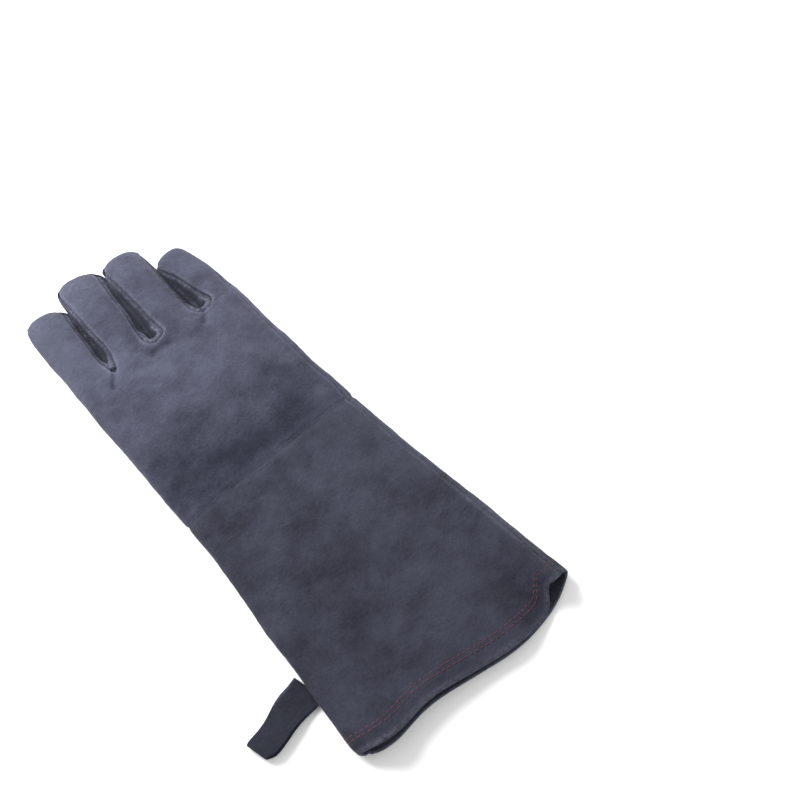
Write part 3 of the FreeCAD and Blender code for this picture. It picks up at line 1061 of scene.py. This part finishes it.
def thumb_surface(inset):
    """The thumb's skin, or a layer under it by inset."""
    hinge = np.array(joint("thumb_swing")["pos_m"]) / MM
    ahead = np.array([math.sin(THUMB_HEADING), math.cos(THUMB_HEADING), 0.0])
    across = np.array([ahead[1], -ahead[0], 0.0])
    start, end = THUMB_STATIONS[0, 0] + inset, THUMB_STATIONS[-1, 0] - inset
    surface = Surface()
    places = [start, start + 0.8, start + 2.2, start + 4.5, start + 7.5]
    places += list(np.linspace(start + 11, end - 11, 15)) + [end - 7.5, end - 4.6, end - 2.4, end - 0.9, end]
    rows = []
    for s in places:
        half, under, height = (soft_interp(s, THUMB_STATIONS, column, 1.0) for column in (1, 2, 3))
        half, up = max(half - inset, 0.5), max(height / 2 - inset, 0.5)
        row = []
        for i in range(THUMB_COLUMNS):
            out, lift = section_point(2 * math.pi * i / THUMB_COLUMNS, THUMB_POWER)
            point = hinge + ahead * s + across * (out * half)
            z = under + height / 2 + lift * up
            row.append(surface.add(np.array([point[0], point[1], z]), CROTCH_ALONG))
        rows.append(row)
    half_way = THUMB_COLUMNS // 2
    for low, high in zip(rows[:-1], rows[1:]):
        for i in range(THUMB_COLUMNS):
            j = (i + 1) % THUMB_COLUMNS
            surface.quad(low[j], low[i], high[i], high[j], "thumb_inner" if i < half_way else "thumb_outer")
    for row, flipped in ((rows[0], False), (rows[-1], True)):
        for i in range(half_way - 1):
            mirror = THUMB_COLUMNS - 1 - i
            corners = [row[i], row[i + 1], row[mirror], row[(mirror + 1) % THUMB_COLUMNS]]
            surface.quad(*(corners[::-1] if flipped else corners), "thumb_outer")
    return surface


def shape_thumb(inset):
    skin = Skin(thumb_surface(inset), 2)
    slack = 0.55 * value_noise(skin.points, 17.0, 41) + 0.25 * value_noise(skin.points, 7.0, 42)
    skin.points = skin.points + skin.normals * slack[:, None]
    borders = skin.borders()
    seams = sorted({v for found in borders.values() for v in found})
    distance = skin.distance_to(seams)
    if inset == 0:
        groove = -0.9 * bell(distance, 1.0) + 0.25 * bell(distance - 2.6, 1.3)
        skin.points = skin.points + skin.normals * groove[:, None]
    rest_on_floor(skin.points, 0.1 + inset)
    skin.points[:, 2] = np.minimum(skin.points[:, 2], THUMB_TOP - inset)
    skin.find_normals()
    # Paler along the thumb's seams: partly rub, partly painted highlight.
    skin.wear = 0.6 * bell(distance - 1.8, 1.6)
    return skin


# ---- hanging loop

LOOP_WIDTH = 23.0
LOOP_THICK = 1.5
# The side of the strap that is rounded off at its end
LOOP_ROUND_SIDE = -1
# Middle of the strap, as distance from the root and height: out below, round the end and back on top
LOOP_PATH = [
    (-7, 1.1), (0, 0.9), (12, 0.85), (26, 0.85), (37, 0.9), (42.6, 1.3), (44.9, 2.9), (44.6, 5),
    (42, 6.5), (36, 7), (26, 6.8), (17, 5.9), (9, 4), (3, 2.75), (-2, 2.6), (-7, 2.7),
]


def smooth_path(points, count):
    """Points evenly along a smooth curve through the given points."""
    points = np.array(points, float)
    fine = []
    for i in range(len(points) - 1):
        p0 = points[max(i - 1, 0)]
        p1, p2 = points[i], points[i + 1]
        p3 = points[min(i + 2, len(points) - 1)]
        for t in np.linspace(0, 1, 12, endpoint=False):
            linear = (p2 - p0) * t
            square = (2 * p0 - 5 * p1 + 4 * p2 - p3) * t**2
            cubic = (3 * p1 - p0 - 3 * p2 + p3) * t**3
            fine.append(0.5 * (2 * p1 + linear + square + cubic))
    fine = np.array(fine + [points[-1]])
    lengths = np.concatenate([[0.0], np.cumsum(np.linalg.norm(np.diff(fine, axis=0), axis=1))])
    return interp_rows(np.linspace(0, lengths[-1], count), lengths, fine)


def loop_frame():
    """Root of the loop, the way that it points and the way across it."""
    hinge = joint("loop_swing")
    root = np.array(hinge["pos_m"]) / MM
    across = np.array(hinge["axis"])
    ahead = np.array([-across[1], across[0], 0.0])
    return np.array([root[0], root[1], 0.0]), ahead, across


def build_loop():
    root, ahead, across = loop_frame()
    path = smooth_path(LOOP_PATH, 110)
    tangents = np.gradient(path, axis=0)
    tangents /= np.linalg.norm(tangents, axis=1, keepdims=True)
    half, thick = LOOP_WIDTH / 2, LOOP_THICK / 2
    edge = [(half - thick + thick * math.cos(a), thick * math.sin(a)) for a in np.linspace(-1.4, 1.4, 5)]
    flat_top = [(x, thick) for x in np.linspace(half - 1.2, -half + 1.2, 17)]
    flat_bottom = [(x, -thick) for x in np.linspace(-half + 1.2, half - 1.2, 17)]
    section = edge + flat_top + [(-x, -y) for x, y in edge] + flat_bottom
    points, faces = [], []
    for (s, z), (ds, dz) in zip(path, tangents):
        taper = 1.02 - 0.22 * float(smoothstep(0, 30, s))
        bow = 0.9 * math.sin(2 * math.pi * np.clip(s / 44, 0, 1)) + 0.6
        rounding = 3.6 * float(smoothstep(36, 46, s)) ** 2
        for x, y in section:
            x = x * taper + bow
            if x * LOOP_ROUND_SIDE > 0:
                x *= 1 - rounding / half
            worn = 0.16 * math.sin(s * 0.5 + x * 0.3) * (1 - abs(x) / half)
            height = np.array([0, 0, z + ds * (y + worn)])
            points.append(root + ahead * (s - dz * (y + worn)) + across * x + height)
    count = len(section)
    for r in range(len(path) - 1):
        for i in range(count):
            a, b = r * count + i, r * count + (i + 1) % count
            faces.append([b, a, a + count, b + count])
    faces.append(list(range(count)))
    faces.append([len(points) - 1 - i for i in range(count)])
    points = np.array(points)
    points = points + np.stack([value_noise(points, 9.0, seed) for seed in (51, 52, 53)], axis=1) * 0.14
    points[:, 2] = np.maximum(points[:, 2], 0.1)
    loop = new_piece("hanging_loop", points, faces, "loop_suede")
    reach = np.abs((points - root) @ across)
    # The strap is paler along its two long edges.
    set_rub_and_highlight(loop, 0.8 * smoothstep(half - 1.6, half - 0.2, reach))
    bend = ("cuff", "loop", tuple(root * MM), tuple((root + ahead * 12.0) * MM))
    finish_piece(loop, "hanging_loop", "loop", bend)


# ---- the glove

WRIST_BEND = ("hand", "cuff", (0, WRIST_Y * MM, 0), (0, (WRIST_Y - 44) * MM, 0))
FINGER_BEND = 27.0
FACES_FROM_HEM = 15.4


def finger_bend(name):
    """The stretch over which a finger's leather turns from the hand to the finger."""
    finger = Finger(name, 0.0)
    start = finger.pivot - finger.ahead * 1.0
    end = start + finger.ahead * FINGER_BEND
    return "hand", name + "_finger", tuple(start * MM), tuple(end * MM)


def bend_of(part):
    """The bend of a part's leather and lining; the hand has none."""
    if part == "cuff":
        return WRIST_BEND
    return finger_bend(part) if part in FINGER_NAMES else None


def build_leather(skin):
    for panel in sorted(set(skin.panels)):
        part = panel.split("_")[0]
        # The fourchettes and crotch gussets take the dark suede of painted shade; the cuff takes the darker
        # suede that carries painted shade for the light's falloff
        slot = "side_suede" if is_side_panel(panel) else "cuff_suede" if part == "cuff" else "hand_suede"
        keep = faces_of(skin, lambda name: name == panel)
        sew(skin, panel, keep, 0.0, LEATHER, slot, "hand", bend_of(part))


def build_facing(skin):
    keep = [face for face in skin.faces if max(skin.along[v] for v in face) < FACES_FROM_HEM]
    depths = (LEATHER + 0.1, 2 * LEATHER)
    # The hem's facing takes the cuff's darker suede, painted shade in part.
    sew(skin, "hem_facing", keep, *depths, "cuff_suede", "cuff", nose=hem_nose(*depths))


def build_linings():
    skin = Skin(build_surface(LINING_DEPTH), 1)
    skin.points = fold(skin.points, skin.normals[:, 2])
    rest_on_floor(skin.points, 0.2 + LINING_DEPTH)
    skin.find_normals()
    parts = {"cuff": [], "hand": []}
    for face, panel in zip(skin.faces, skin.panels):
        part = panel.split("_")[0]
        part = "hand" if part == "crotch" else part
        if part != "cuff" or min(skin.along[v] for v in face) > FACES_FROM_HEM:
            parts.setdefault(part, []).append(face)
    for part, keep in parts.items():
        slot = "canvas_lining" if part == "cuff" else "fleece_lining"
        sew(skin, part + "_lining", keep, 0.0, LINING_THICK, slot, "hand", bend_of(part))


def build_thumb():
    skin = shape_thumb(0.0)
    for panel in ("thumb_inner", "thumb_outer"):
        keep = faces_of(skin, lambda name: name == panel)
        sew(skin, panel, keep, 0.0, LEATHER, "hand_suede", "thumb")
    skin = shape_thumb(LINING_DEPTH)
    sew(skin, "thumb_lining", skin.faces, 0.0, LINING_THICK, "fleece_lining", "thumb")


leather = shape_skin()
build_leather(leather)
build_facing(leather)
build_linings()
for row_name, row_distance in STITCH_ROWS.items():
    finish_piece(stitch_row(leather, row_name, row_distance), row_name, "cuff")
build_thumb()
build_loop()


# ---- floor, light and camera

def build_floor():
    mesh = bpy.data.meshes.new("floor")
    edge = 4.0
    corners = [(-edge, -edge, 0), (edge, -edge, 0), (edge, edge, 0), (-edge, edge, 0)]
    mesh.from_pydata(corners, [], [(0, 1, 2, 3)])
    floor = add_object("floor", mesh)
    material, tree, shader, place = new_material("pale_floor")
    tone = mix_colour(tree, noise(tree, place, 4.0), (0.88, 0.88, 0.88), (0.91, 0.91, 0.91))
    tree.links.new(tone, shader.inputs["Base Color"])
    shader.inputs["Roughness"].default_value = 0.9
    mesh.materials.append(material)


def aim(thing, position, target):
    thing.location = position
    thing.rotation_euler = (Vector(target) - Vector(position)).to_track_quat("-Z", "Y").to_euler()


def add_area_light(name, position, target, size, power):
    data = bpy.data.lights.new(name, "AREA")
    data.shape = "DISK"
    data.size = size
    data.energy = power
    aim(add_object(name, data), position, target)


def build_camera():
    data = bpy.data.cameras.new("camera")
    data.lens = 69.0
    data.sensor_width = 36.0
    camera = add_object("camera", data)
    aim(camera, (-0.270, -0.416, 0.939), (0.101, -0.018, 0.0))
    bpy.context.scene.camera = camera


build_floor()
add_area_light("key_light", (-0.22, 0.80, 0.72), (0, 0.12, 0), 0.7, 23.0)
add_area_light("fill_light", (1.2, -0.6, 1.4), (0, 0, 0), 1.6, 3.0)
world = bpy.data.worlds.new("studio")
world.use_nodes = True
background = world.node_tree.nodes["Background"].inputs
background["Color"].default_value = (1.0, 1.0, 1.0, 1.0)
background["Strength"].default_value = 0.85
bpy.context.scene.world = world
bpy.context.scene.view_settings.view_transform = "Standard"
build_camera()
